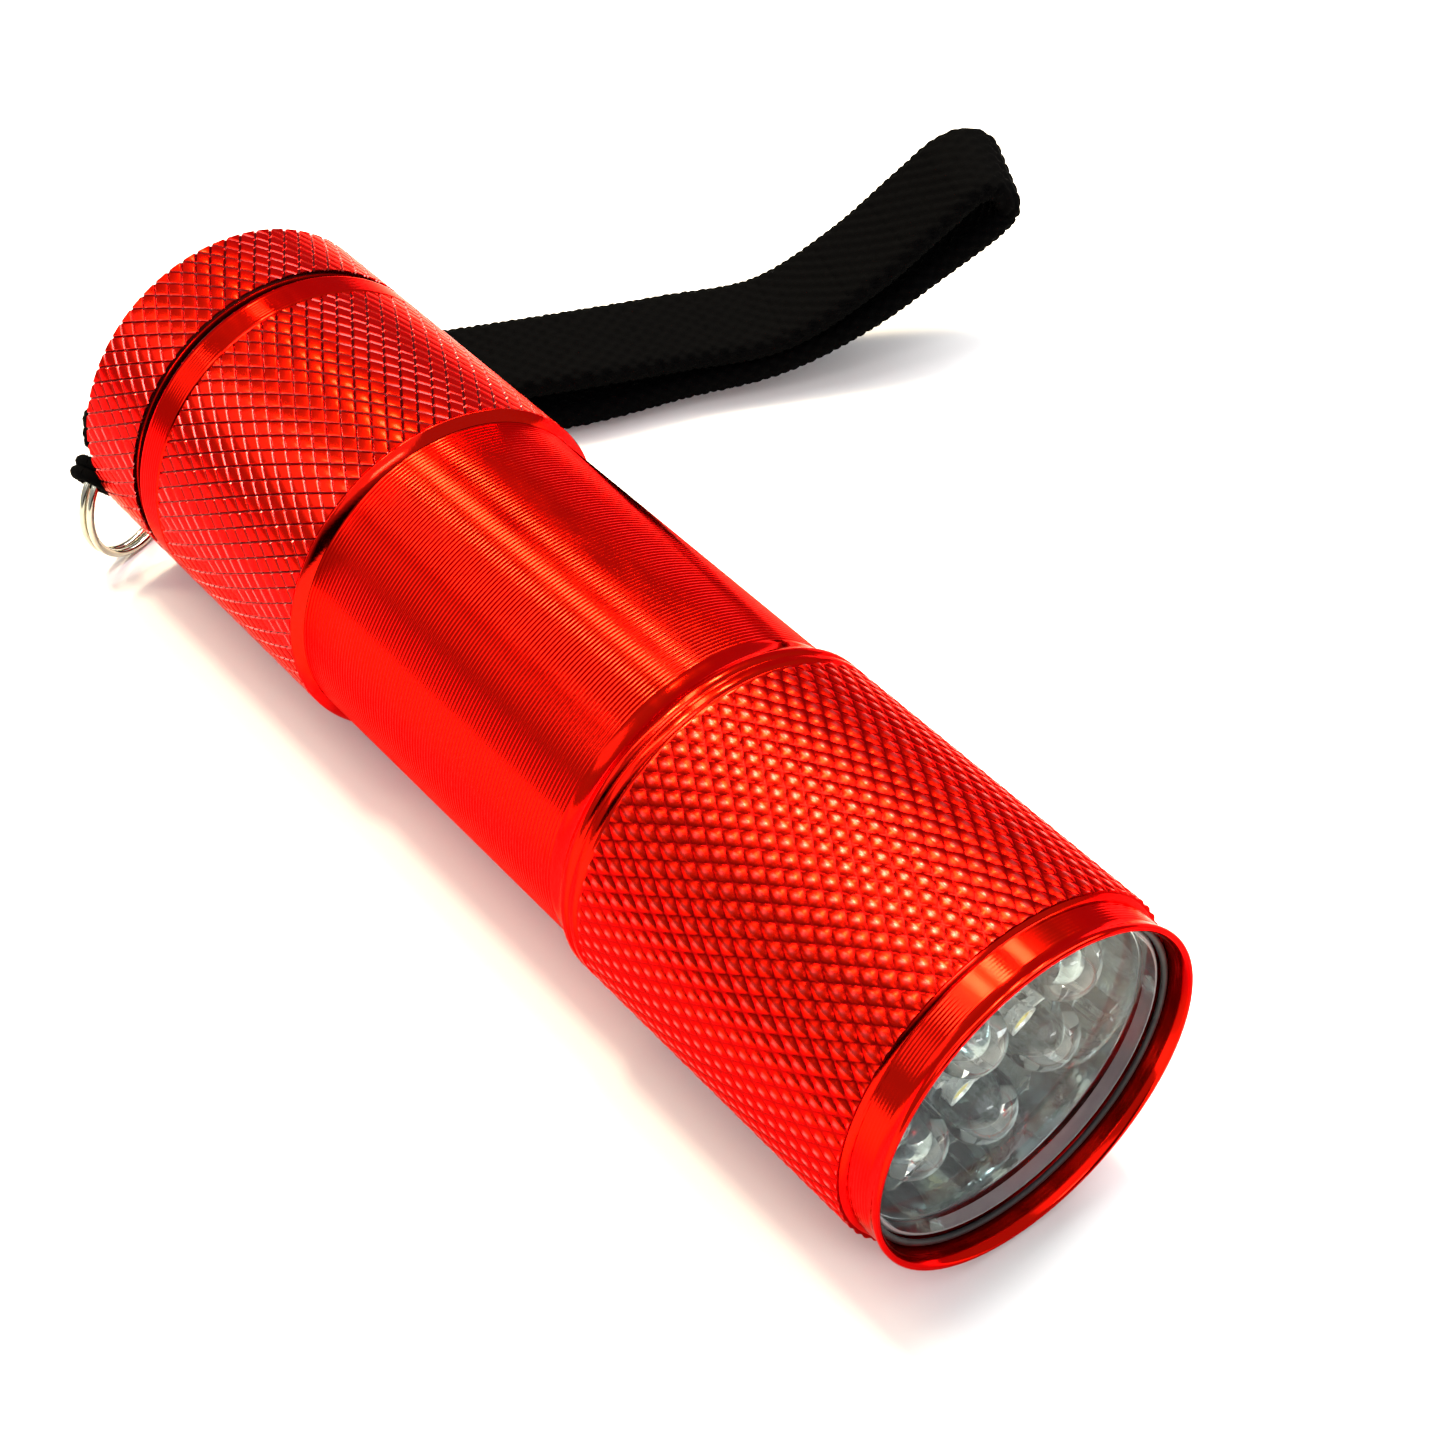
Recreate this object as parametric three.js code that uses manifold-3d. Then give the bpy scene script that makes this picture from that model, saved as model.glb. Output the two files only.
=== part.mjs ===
// Keychain flashlight: an aluminium torch with nine LEDs, three AAA cells, a screw-on tail cap
// with a rubber push button, and a folded wrist strap and split ring tied to the tail.
//
// Units are millimetres and +Z is up. The torch lies on its side with its axis along X, the lens
// at +X. Inside the `torch` group, x is the distance from the tail's rear face and the axis is
// y = z = 0. The group is then moved so that the origin is below its middle, on the table.
import * as THREE from 'three';
import * as BufferGeometryUtils from 'three/addons/utils/BufferGeometryUtils.js';
import Module from 'manifold-3d';

const wasm = await Module();
wasm.setup();

// ---------------------------------------------------------------- driving dimensions
const LENGTH = 89;
const BODY_RADIUS = 13;            // knurled bands and tail cap
const GRIP_RADIUS = 12.3;          // smooth middle
const BATTERY_BORE = 11.35;
const THREAD_BORE = 11.95;
const HEAD_BORE = 11.85;

const BARREL_REAR = 7.6;           // rear face of the barrel's flange
const REAR_KNURL = [10.3, 28.0];
const FRONT_KNURL = [61.1, 85.9];
const THREAD_END = 14.2;           // inner end of the barrel's female thread
const SHELF = 72.6;                // ledge that the LED module sits against

const CAP_SKIRT = 6.85;            // front edge of the cap's knurled skirt
const CAP_SPIGOT_END = 13.8;
const CAP_BORE = 9.8;
const CAP_PLATE = 2.0;             // thickness of the cap's rear plate
const BUTTON_HOLE = 6.3;
const CORD_HOLE_RADIUS = 1.0;
const CORD_HOLE_CIRCLE = 10.4;
const CORD_HOLE_ANGLES = [165, 183];

const CELL_RADIUS = 5.1;           // AAA cell
const CELL_BODY = 43.5;
const CELL_NUB = 1.0;
const CELL_CIRCLE = 6.06;          // cell centres, from the torch's axis
const CELL_ANGLES = [90, 210, 330];
const HOLDER_RADIUS = 11.1;
const HOLDER_REAR = 16.8;
const HOLDER_FRONT = 67.0;
const HOLDER_DISC = 1.5;

const LED_RADIUS = 2.5;
const LED_FLANGE_RADIUS = 2.85;
const LED_HEIGHT = 8.6;
const LED_BASE = 76.0;
const LED_CIRCLE = 7.75;
const LED_PHASE = 11.5;            // angle of the first ring LED from +Y, in degrees
const RING_LEDS = 8;

const LENS_REAR = 85.6;
const LENS_FRONT = 87.15;
const LENS_RADIUS = 11.65;

const SPLIT_RING = { radius: 4.6, wire: 0.35, pitch: 0.75, turns: 2 };
const SPLIT_RING_CENTRE = new THREE.Vector3(-2.9, -9.4, -8.0);
const SPLIT_RING_YAW = 20;         // turn of the ring's axis about Z, from +X, in degrees
const TIE_ANGLE = 125;             // where the tie holds the split ring, round the ring's axis
const TIE = { radius: 1.45, halfThickness: 0.6, halfWidth: 1.0 };
const KNOT = { centre: [-2.05, -11.2, -1.0], halfSize: [1.4, 1.25, 1.15] };

const LOOP_CORD = 0.6;             // radius of the thin lanyard cord
const NECK = { across: 1.4, flat: 1.25 };
const STRAP = { width: 8.4, thickness: 2.3 };
// The folded strap from the neck to just before its fold: x, y and z halfway between its two legs,
// and the height from the middle of one leg to the middle of the other.
const STRAP_ROUTE = [
  [-8.7, -1.6, -8.75, 3.0],
  [-8.4, 2.4, -10.05, 2.8],
  [-6.96, 6.6, -10.5, 2.68],
  [-4.83, 11.98, -10.26, 3.19],
  [-1.79, 16.8, -9.99, 3.74],
  [1.21, 21.72, -9.73, 4.25],
  [4.17, 28.22, -9.69, 4.33],
  [6.78, 36.47, -9.8, 3.47],
  [10.1, 44.25, -9.18, 2.96],
  [12.43, 51.26, -6.25, 4.03],
  [13.94, 57.36, -2.63, 5.2],
];
const STRAP_FOLD = [
  [15.34, 62.79, -2.13],
  [15.8, 63.9, -0.65],
  [15.95, 63.6, 1.2],
  [15.35, 62.2, 2.3],
  [14.72, 60.41, 2.03],
];

const SEGMENTS = 36;               // round the torch's axis
const SMALL_SEGMENTS = 20;
const LED_SEGMENTS = 10;
const TIE_SIDES = 8;

// ---------------------------------------------------------------- finishes
const finish = (color, roughness, metalness, extra = {}) =>
  new THREE.MeshStandardMaterial({ color, roughness, metalness, ...extra });
const FINISH = {
  anodised: () => finish(0xd40a05, 0.32, 0.9),
  steel: () => finish(0xb9b6ae, 0.3, 1.0),
  brass: () => finish(0xc9a24a, 0.35, 1.0),
  rubber: () => finish(0x141414, 0.75, 0.0),
  plastic: () => finish(0x18181a, 0.5, 0.0),
  board: () => finish(0xe8e8e2, 0.5, 0.0),
  chrome: () => finish(0xc9cdd0, 0.12, 1.0),
  clear: () => finish(0xeef4f6, 0.05, 0.0, { transparent: true, opacity: 0.35 }),
  braid: () => finish(0x060606, 0.9, 0.0),
  jacket: () => finish(0x2f6d3a, 0.4, 0.2),
};

// ---------------------------------------------------------------- helpers
const torch = new THREE.Group();
const radians = (degrees) => THREE.MathUtils.degToRad(degrees);

// A point at `radius` from the axis, at `angle` degrees from +Y towards +Z.
const around = (x, radius, angle) =>
  new THREE.Vector3(x, radius * Math.cos(radians(angle)), radius * Math.sin(radians(angle)));

// Merges shared vertices, drops triangles of no area and makes every face point out.
function closed(geometry) {
  const bare = geometry.clone();
  bare.deleteAttribute('normal');
  bare.deleteAttribute('uv');
  const merged = BufferGeometryUtils.mergeVertices(bare, 1e-4);
  const index = Array.from(merged.index.array);
  const point = (i) => new THREE.Vector3().fromBufferAttribute(merged.attributes.position, i);
  const kept = [];
  let volume = 0;
  for (let i = 0; i < index.length; i += 3) {
    const [a, b, c] = index.slice(i, i + 3);
    if (a === b || b === c || c === a) continue;
    kept.push(a, b, c);
    volume += point(a).dot(point(b).cross(point(c)));
  }
  if (volume < 0) kept.reverse();
  merged.setIndex(kept);
  return merged;
}

const toManifold = (geometry) => {
  const solid = closed(geometry);
  return new wasm.Manifold(new wasm.Mesh({
    numProp: 3,
    vertProperties: new Float32Array(solid.attributes.position.array),
    triVerts: new Uint32Array(solid.index.array),
  }));
};

const fromManifold = (manifold) => {
  const mesh = manifold.getMesh();
  const geometry = new THREE.BufferGeometry();
  geometry.setAttribute('position', new THREE.BufferAttribute(mesh.vertProperties, 3));
  geometry.setIndex(new THREE.BufferAttribute(mesh.triVerts, 1));
  return geometry;
};

const cut = (geometry, tools) =>
  fromManifold(tools.reduce((left, tool) => left.subtract(toManifold(tool)), toManifold(geometry)));

const join = (geometries) =>
  fromManifold(geometries.map(toManifold).reduce((sum, next) => sum.add(next)));

// A solid of revolution about the X axis from [x, radius] points. A profile that doesn't start
// and end on the axis is closed on itself.
function turned(profile, segments = SEGMENTS) {
  const points = profile.map(([x, radius]) => new THREE.Vector2(radius, x));
  const onAxis = profile[0][1] === 0 && profile[profile.length - 1][1] === 0;
  if (!onAxis) points.push(points[0].clone());
  return new THREE.LatheGeometry(points, segments).rotateZ(-Math.PI / 2);
}

const disc = (x0, x1, radius, segments = SEGMENTS) =>
  turned([[x0, 0], [x0, radius], [x1, radius], [x1, 0]], segments);

const tubeRing = (x0, x1, inner, outer, segments = SEGMENTS) =>
  turned([[x0, inner], [x0, outer], [x1, outer], [x1, inner]], segments);

// A section swept along a curve. The first half-width lies along the curve's normal, which starts
// level on the strap's route.
function swept(curve, steps, halfNormal, halfBinormal, sides = 8) {
  const shape = new THREE.Shape();
  for (let i = 0; i < sides; i += 1) {
    const angle = (2 * Math.PI * (i + 0.5)) / sides;
    const place = [halfNormal * Math.cos(angle), halfBinormal * Math.sin(angle)];
    if (i === 0) shape.moveTo(...place);
    else shape.lineTo(...place);
  }
  shape.closePath();
  return new THREE.ExtrudeGeometry(shape, { steps, extrudePath: curve });
}

const smooth = (points) =>
  new THREE.CatmullRomCurve3(points.map((p) => (p.isVector3 ? p : new THREE.Vector3(...p))));

// A coil about the X axis whose radius runs from r0 to r1.
class Coil extends THREE.Curve {
  constructor(x0, x1, r0, r1, turns) {
    super();
    Object.assign(this, { x0, x1, r0, r1, turns });
  }

  getPoint(t, target = new THREE.Vector3()) {
    const angle = 2 * Math.PI * this.turns * t;
    const radius = this.r0 + (this.r1 - this.r0) * t;
    return target.set(
      this.x0 + (this.x1 - this.x0) * t, radius * Math.cos(angle), radius * Math.sin(angle));
  }
}

// x0 and x1 are the spring's outer ends, so its wire's middle line stays a wire radius inside.
const spring = (x0, x1, r0, r1, turns, wire, stepsPerTurn = 12) =>
  swept(new Coil(x0 + wire, x1 - wire, r0, r1, turns), Math.round(turns * stepsPerTurn), wire, wire, 6);

function add(name, geometry, material) {
  const solid = closed(geometry);
  solid.computeVertexNormals();
  const mesh = new THREE.Mesh(solid, material);
  mesh.name = name;
  torch.add(mesh);
  return mesh;
}

// ---------------------------------------------------------------- barrel
function barrel() {
  const rearFlange = [[BARREL_REAR, 12.15], [BARREL_REAR, 12.7], [7.95, 13.0], [10.1, 13.0], [10.2, 12.86]];
  const rearGrip = [[REAR_KNURL[0], BODY_RADIUS], [REAR_KNURL[1], BODY_RADIUS], [28.35, 12.95], [28.4, GRIP_RADIUS]];
  const shoulder = [
    [57.4, GRIP_RADIUS], [58.3, 12.4], [58.8, 12.6], [59.2, 12.97], [59.7, 12.97], [59.85, 12.78],
    [60.05, 12.78], [60.15, 12.95], [60.6, 12.95], [60.75, 12.78], [60.95, 12.78],
  ];
  const frontGrip = [[FRONT_KNURL[0], BODY_RADIUS], [FRONT_KNURL[1], BODY_RADIUS]];
  const bezel = [[86.0, 12.5], [87.3, 12.4], [88.1, 12.45], [88.6, 12.66], [LENGTH, 12.62]];
  const headBore = [[LENGTH, 12.2], [88.7, 12.05], [87.0, 12.05], [87.0, HEAD_BORE], [SHELF, HEAD_BORE]];
  const batteryBore = [[SHELF, BATTERY_BORE], [THREAD_END, BATTERY_BORE], [THREAD_END, THREAD_BORE], [7.85, THREAD_BORE]];
  const profile = [...rearFlange, ...rearGrip, ...shoulder, ...frontGrip, ...bezel, ...headBore, ...batteryBore];
  add('barrel', turned(profile), FINISH.anodised());
}

// ---------------------------------------------------------------- head
function lensAndSeal() {
  add('lens', turned([
    [LENS_REAR, 0], [LENS_REAR, LENS_RADIUS], [86.6, LENS_RADIUS], [LENS_FRONT, 11.0], [LENS_FRONT, 0],
  ]), FINISH.clear());
  const sealCentre = { x: 87.45, radius: 11.6, section: 0.3 };
  const section = [];
  for (let i = 0; i < 6; i += 1) {
    const angle = (i * Math.PI) / 3;
    section.push([
      sealCentre.x + sealCentre.section * Math.cos(angle),
      sealCentre.radius + sealCentre.section * Math.sin(angle),
    ]);
  }
  add('lens_seal', turned(section), FINISH.rubber());
}

const ledPlaces = [new THREE.Vector3(0, 0, 0)];
for (let i = 0; i < RING_LEDS; i += 1) {
  ledPlaces.push(around(0, LED_CIRCLE, LED_PHASE + (i * 360) / RING_LEDS));
}

function ledShape() {
  const domeBase = LED_HEIGHT - LED_RADIUS;
  const profile = [[0, 0], [0, LED_FLANGE_RADIUS], [1.0, LED_FLANGE_RADIUS], [1.0, LED_RADIUS], [domeBase, LED_RADIUS]];
  for (let i = 1; i < 4; i += 1) {
    const angle = (i * Math.PI) / 8;
    profile.push([domeBase + LED_RADIUS * Math.sin(angle), LED_RADIUS * Math.cos(angle)]);
  }
  profile.push([LED_HEIGHT, 0]);
  return turned(profile, LED_SEGMENTS);
}

function leds() {
  ledPlaces.forEach((place, i) => {
    const led = add(`led_${i + 1}`, ledShape(), FINISH.clear());
    led.position.set(LED_BASE, place.y, place.z);
  });
}

function reflector() {
  const plate = [77.3, 78.1];
  const cup = turned([
    [plate[0], 0], [plate[0], 11.5], [LENS_REAR - 0.3, 11.5], [LENS_REAR - 0.3, 11.15],
    [plate[1], 10.9], [plate[1], 0],
  ]);
  const holes = ledPlaces.map((place) =>
    disc(plate[0] - 1, plate[1] + 1, LED_RADIUS + 0.27, 12).translate(0, place.y, place.z));
  add('reflector', cut(cup, holes), FINISH.chrome());
}

function ledModule() {
  add('led_board', disc(74.1, 75.7, 11.4), FINISH.board());
  add('module_base', disc(72.9, 73.8, 11.5), FINISH.plastic());
  add('front_contact_spring', spring(68.2, 72.6, 3.2, 4.6, 4, 0.35), FINISH.steel());
}

// ---------------------------------------------------------------- battery pack
function batteryHolder() {
  const half = radians(24);
  const rib = new THREE.Shape();
  rib.absarc(0, 0, HOLDER_RADIUS, -half, half, false);
  rib.absarc(0, 0, 9.6, half, -half, true);
  rib.closePath();
  const length = HOLDER_FRONT - HOLDER_REAR - HOLDER_DISC;
  const ribs = CELL_ANGLES.map((angle) => new THREE.ExtrudeGeometry(rib, { depth: length, bevelEnabled: false, curveSegments: 4 })
    .rotateY(Math.PI / 2)
    .rotateX(radians(angle + 60 + 90))
    .translate(HOLDER_REAR + HOLDER_DISC / 2, 0, 0));
  const rear = disc(HOLDER_REAR, HOLDER_REAR + HOLDER_DISC, HOLDER_RADIUS);
  const front = disc(HOLDER_FRONT - HOLDER_DISC, HOLDER_FRONT, HOLDER_RADIUS);
  const core = disc(HOLDER_REAR + 0.5, HOLDER_FRONT - 0.5, 0.7, 8);
  add('battery_holder', join([rear, front, core, ...ribs]), FINISH.plastic());
  add('holder_rear_contact', disc(16.2, 16.6, 4.0, SMALL_SEGMENTS), FINISH.brass());
  add('holder_front_contact', turned([
    [67.2, 0], [67.2, 4.2], [67.5, 4.2], [67.7, 2.2], [67.95, 1.8], [67.95, 0],
  ], SMALL_SEGMENTS), FINISH.brass());
}

// Each cell has its own coil spring at its negative end and a flat strip at its nub. One cell
// points the other way.
function cells() {
  const zone = [HOLDER_REAR + HOLDER_DISC, HOLDER_FRONT - HOLDER_DISC];
  const gap = 0.3;
  CELL_ANGLES.forEach((angle, i) => {
    const place = around(0, CELL_CIRCLE, angle);
    const reversed = i === 2;
    const total = zone[1] - zone[0];
    const mirror = (x) => (reversed ? total - x : x);
    const at = (x) => zone[0] + mirror(x);
    const springEnd = total - gap - 0.4 - gap - CELL_BODY - CELL_NUB - gap;
    const base = springEnd + gap;
    const profile = [
      [0, 0], [0, 4.6], [0.4, CELL_RADIUS], [CELL_BODY - 0.4, CELL_RADIUS], [CELL_BODY, 4.6],
      [CELL_BODY, 1.9], [CELL_BODY + CELL_NUB, 1.9], [CELL_BODY + CELL_NUB, 0],
    ].map(([x, radius]) => [at(base + x), radius]);
    add(`battery_${i + 1}`, turned(profile, SMALL_SEGMENTS).translate(0, place.y, place.z), FINISH.jacket());
    const coil = [at(gap), at(springEnd)].sort((a, b) => a - b);
    const coilRadii = reversed ? [2.0, 3.6] : [3.6, 2.0];
    add(`cell_spring_${i + 1}`, spring(...coil, ...coilRadii, 2, 0.25, 10).translate(0, place.y, place.z), FINISH.steel());
    const strip = [at(total - gap), at(total - gap - 0.4)].sort((a, b) => a - b);
    add(`cell_contact_${i + 1}`, disc(...strip, 3.0, 12).translate(0, place.y, place.z), FINISH.brass());
  });
}

// ---------------------------------------------------------------- tail cap and switch
function tailCap() {
  const body = turned([
    [0, 12.8], [0.2, BODY_RADIUS], [6.6, BODY_RADIUS], [CAP_SKIRT, 12.75], [CAP_SKIRT, 11.4], [7.6, 11.4],
    [7.75, 11.65], [13.5, 11.65], [CAP_SPIGOT_END, 11.4], [CAP_SPIGOT_END, CAP_BORE], [5.2, CAP_BORE],
    [5.2, 11.2], [CAP_PLATE, 11.2], [CAP_PLATE, BUTTON_HOLE], [0.3, BUTTON_HOLE], [0, 6.6],
  ]);
  const holes = CORD_HOLE_ANGLES.map((angle) => {
    const place = around(0, CORD_HOLE_CIRCLE, angle);
    return disc(-1, CAP_PLATE + 1, CORD_HOLE_RADIUS, 12).translate(0, place.y, place.z);
  });
  add('tail_cap', cut(body, holes), FINISH.anodised());
  add('tail_seal_ring', turned([
    [6.98, 11.7], [6.98, 12.3], [7.1, 12.5], [7.35, 12.5], [7.47, 12.3], [7.47, 11.7],
  ]), FINISH.rubber());
}

function switchParts() {
  add('switch_boot', turned([
    [0.4, 0], [0.45, 2.4], [0.7, 4.4], [1.2, 5.4], [2.0, 5.8], [2.25, 5.9], [2.25, 7.4], [3.05, 7.4],
    [3.05, 5.0], [2.0, 4.7], [1.3, 3.4], [1.3, 0],
  ], SMALL_SEGMENTS), FINISH.rubber());
  add('switch_plunger', turned([
    [1.6, 0], [1.6, 1.6], [2.0, 2.0], [9.6, 2.0], [9.6, 0],
  ], SMALL_SEGMENTS), FINISH.board());
  add('switch_spring', spring(9.9, 13.0, 1.6, 1.6, 4, 0.2, 10), FINISH.steel());
  add('switch_housing', turned([
    [5.0, 2.4], [5.0, 8.6], [5.5, 8.6], [5.5, 9.5], [12.3, 9.5], [12.3, 4.0], [13.9, 4.0], [13.9, 0],
    [13.3, 0], [13.3, 2.4],
  ]), FINISH.plastic());
  add('switch_retaining_ring', tubeRing(12.6, 13.6, 5.2, 9.5), FINISH.brass());
  add('tail_contact_spring', spring(14.2, 15.9, 3.6, 2.4, 2, 0.3), FINISH.steel());
}

// ---------------------------------------------------------------- lanyard
function lanyard() {
  const [upper, lower] = CORD_HOLE_ANGLES.map((angle) => around(0, CORD_HOLE_CIRCLE, angle));
  const loop = smooth([
    [-2.1, -10.9, 0.6], [-1.4, -10.5, 2.0], [0.2, upper.y, upper.z], [CAP_PLATE, upper.y, upper.z],
    [3.4, -10.3, 1.1], [CAP_PLATE, lower.y, lower.z], [0.3, lower.y, lower.z], [-0.45, -10.5, -0.75],
  ]);
  add('lanyard_loop', swept(loop, 22, LOOP_CORD, LOOP_CORD), FINISH.braid());

  const knot = new THREE.SphereGeometry(1, 12, 8).scale(...KNOT.halfSize).translate(...KNOT.centre);
  add('strap_knot', knot, FINISH.braid());

  const neck = smooth([[-5.0, -9.8, -1.9], [-6.6, -7.4, -4.4], [-7.9, -4.9, -6.7], [-8.6, -2.6, -8.2]]);
  add('strap_neck', swept(neck, 6, NECK.flat, NECK.across), FINISH.braid());
}

function wristStrap() {
  const lower = STRAP_ROUTE.map(([x, y, z, spacing]) => [x, y, z - spacing / 2]);
  const upper = STRAP_ROUTE.map(([x, y, z, spacing]) => [x, y, z + spacing / 2]);
  const route = smooth([...lower, ...STRAP_FOLD, ...upper.reverse()]);
  add('wrist_strap', swept(route, 80, STRAP.width / 2, STRAP.thickness / 2), FINISH.braid());
}

function splitRing() {
  const place = (geometry) =>
    geometry.rotateZ(radians(SPLIT_RING_YAW)).translate(...SPLIT_RING_CENTRE.toArray());
  const { radius, wire, pitch, turns } = SPLIT_RING;
  const length = pitch * turns;
  const coil = swept(new Coil(-length / 2, length / 2, radius, radius, turns), 24 * turns, wire, wire);
  add('split_ring', place(coil), FINISH.steel());

  const section = [];
  for (let i = 0; i < TIE_SIDES; i += 1) {
    const angle = (2 * Math.PI * i) / TIE_SIDES;
    section.push([TIE.halfWidth * Math.cos(angle), TIE.radius + TIE.halfThickness * Math.sin(angle)]);
  }
  const tangent = around(0, 1, TIE_ANGLE + 90);
  const tie = turned(section, 16)
    .applyQuaternion(new THREE.Quaternion().setFromUnitVectors(new THREE.Vector3(1, 0, 0), tangent))
    .translate(...around(0, radius, TIE_ANGLE).toArray());
  add('ring_tie', place(tie), FINISH.braid());
}

barrel();
lensAndSeal();
leds();
reflector();
ledModule();
batteryHolder();
cells();
tailCap();
switchParts();
lanyard();
wristStrap();
splitRing();
torch.position.set(-LENGTH / 2, 0, BODY_RADIUS);

export default torch;
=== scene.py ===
"""Keychain flashlight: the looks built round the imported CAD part."""

import math

import bmesh
import bpy
import numpy as np
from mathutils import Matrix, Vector

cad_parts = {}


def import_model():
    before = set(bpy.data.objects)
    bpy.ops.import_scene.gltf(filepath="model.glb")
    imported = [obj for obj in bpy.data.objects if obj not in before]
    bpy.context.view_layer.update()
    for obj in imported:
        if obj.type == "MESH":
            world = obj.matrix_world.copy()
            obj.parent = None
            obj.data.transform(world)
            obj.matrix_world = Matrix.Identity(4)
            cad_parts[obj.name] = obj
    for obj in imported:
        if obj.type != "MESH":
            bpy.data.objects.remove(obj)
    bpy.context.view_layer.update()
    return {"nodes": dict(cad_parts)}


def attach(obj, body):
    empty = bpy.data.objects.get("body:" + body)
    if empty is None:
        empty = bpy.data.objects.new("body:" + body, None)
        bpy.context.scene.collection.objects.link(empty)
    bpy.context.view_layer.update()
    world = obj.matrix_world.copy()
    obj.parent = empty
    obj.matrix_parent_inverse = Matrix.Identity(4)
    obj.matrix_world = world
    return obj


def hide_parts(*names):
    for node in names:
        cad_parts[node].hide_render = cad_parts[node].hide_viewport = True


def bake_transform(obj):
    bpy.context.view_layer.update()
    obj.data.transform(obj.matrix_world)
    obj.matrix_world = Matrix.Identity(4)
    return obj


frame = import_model()
scene = bpy.context.scene

MM = 0.001
LENGTH = 89.0         # tail face to head rim, mm
AXIS_HEIGHT = 13.0    # the torch's axis above the floor, mm
BODY_RADIUS = 13.0    # crests of the knurled bands, mm
WAIST_RADIUS = 12.3   # smooth middle of the barrel, mm


def world(points):
    """Points in the torch's own millimetres (x from the tail face, axis at y = z = 0) in metres."""
    p = np.asarray(points, float).reshape(-1, 3)
    return (p + [-LENGTH / 2, 0, AXIS_HEIGHT]) * MM


def polar(radius, degrees):
    """The (y, z) of a point at that radius and angle about the torch's axis."""
    angle = math.radians(degrees)
    return radius * math.cos(angle), radius * math.sin(angle)


def round_steps(count):
    """Angles that divide a full turn evenly."""
    return np.arange(count) * 2 * math.pi / count


# ------------------------------------------------------------------ camera and light
CAMERA_PLACE = (0.11414, -0.07935, 0.14352)
CAMERA_BACK = Vector((0.5641, -0.4502, 0.6921))    # from the torch towards the camera
CENTRE = (0, 0, 0.01)                              # where every lamp points
WARM = (1.0, 0.84, 0.58)


def aim(obj, place, back):
    """The camera or lamp at a place, with its back in that direction."""
    scene.collection.objects.link(obj)
    obj.location = place
    obj.rotation_mode = "QUATERNION"
    obj.rotation_quaternion = back.to_track_quat("Z", "Y")


def make_camera():
    camera = bpy.data.objects.new("camera", bpy.data.cameras.new("camera"))
    aim(camera, CAMERA_PLACE, CAMERA_BACK)
    camera.data.sensor_width = 36
    camera.data.lens = 70.31
    camera.data.clip_start = 0.005
    return camera


def area_light(name, place, size, power, colour=(1, 1, 1)):
    data = bpy.data.lights.new(name, "AREA")
    data.shape = "RECTANGLE"
    data.size, data.size_y = size
    data.energy = power
    data.color = colour
    aim(bpy.data.objects.new(name, data), place, Vector(place) - Vector(CENTRE))


scene.camera = make_camera()
scene.view_settings.view_transform = "Standard"
scene.view_settings.look = "None"

area_light("lamp_main", (-0.36, 0.085, 0.71), (0.085, 0.42), 6.4, WARM)
area_light("lamp_second", (-0.36, -0.275, 0.65), (0.08, 0.42), 2.4, WARM)
area_light("lamp_head_right", (-0.34, 0.30, 0.71), (0.09, 0.1), 4.6, WARM)
area_light("lamp_head_left", (-0.31, -0.08, 0.71), (0.09, 0.1), 4.6, WARM)
area_light("softbox_left", (-0.5, -0.5, 0.42), (0.45, 0.3), 0.6)
area_light("strip_back", (-0.045, 0.44, 0.69), (0.1, 0.8), 5.5)
area_light("strip_front", (0.04, -0.53, 0.61), (0.1, 0.36), 1.0)
area_light("fill_front", (0.45, -0.12, 0.62), (0.7, 0.7), 1.4)
area_light("rim_light", (0.656, -0.02, 0.456), (0.24, 0.08), 1.5)


# ------------------------------------------------------------------ node helpers
MIX_SHARE, MIX_FIRST, MIX_SECOND, MIX_RESULT = 0, 6, 7, 2    # the Mix node's sockets for colours


def ramp(tree, source, low, high, near=0.3, far=0.7):
    """source's range near..far spread over low..high."""
    node = tree.nodes.new("ShaderNodeMapRange")
    node.inputs["From Min"].default_value = near
    node.inputs["From Max"].default_value = far
    node.inputs["To Min"].default_value = low
    node.inputs["To Max"].default_value = high
    tree.links.new(source, node.inputs["Value"])
    return node.outputs["Result"]


def larger(tree, first, second):
    node = tree.nodes.new("ShaderNodeMath")
    node.operation = "MAXIMUM"
    tree.links.new(first, node.inputs[0])
    tree.links.new(second, node.inputs[1])
    return node.outputs["Value"]


def noise(tree, scale, detail=3, stretch=(1, 1, 1)):
    """A noise texture that stays with the object, scale in features per metre."""
    place = tree.nodes.new("ShaderNodeTexCoord")
    mapping = tree.nodes.new("ShaderNodeMapping")
    mapping.inputs["Scale"].default_value = stretch
    texture = tree.nodes.new("ShaderNodeTexNoise")
    texture.inputs["Scale"].default_value = scale
    texture.inputs["Detail"].default_value = detail
    tree.links.new(place.outputs["Object"], mapping.inputs["Vector"])
    tree.links.new(mapping.outputs["Vector"], texture.inputs["Vector"])
    return texture.outputs["Fac"]


def colour_mix(made, share, first):
    """Mix first into the base colour by share, and return the mix's other colour socket."""
    tree = made.node_tree
    mix = tree.nodes.new("ShaderNodeMix")
    mix.data_type = "RGBA"
    mix.inputs[MIX_FIRST].default_value = (*first, 1)
    tree.links.new(share, mix.inputs[MIX_SHARE])
    tree.links.new(mix.outputs[MIX_RESULT], tree.nodes["Principled BSDF"].inputs["Base Color"])
    return mix.inputs[MIX_SECOND]


def vary_colour(made, source, first, second):
    colour_mix(made, source, first).default_value = (*second, 1)


def vary_roughness(made, source, low, high):
    tree = made.node_tree
    tree.links.new(ramp(tree, source, low, high), tree.nodes["Principled BSDF"].inputs["Roughness"])


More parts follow.
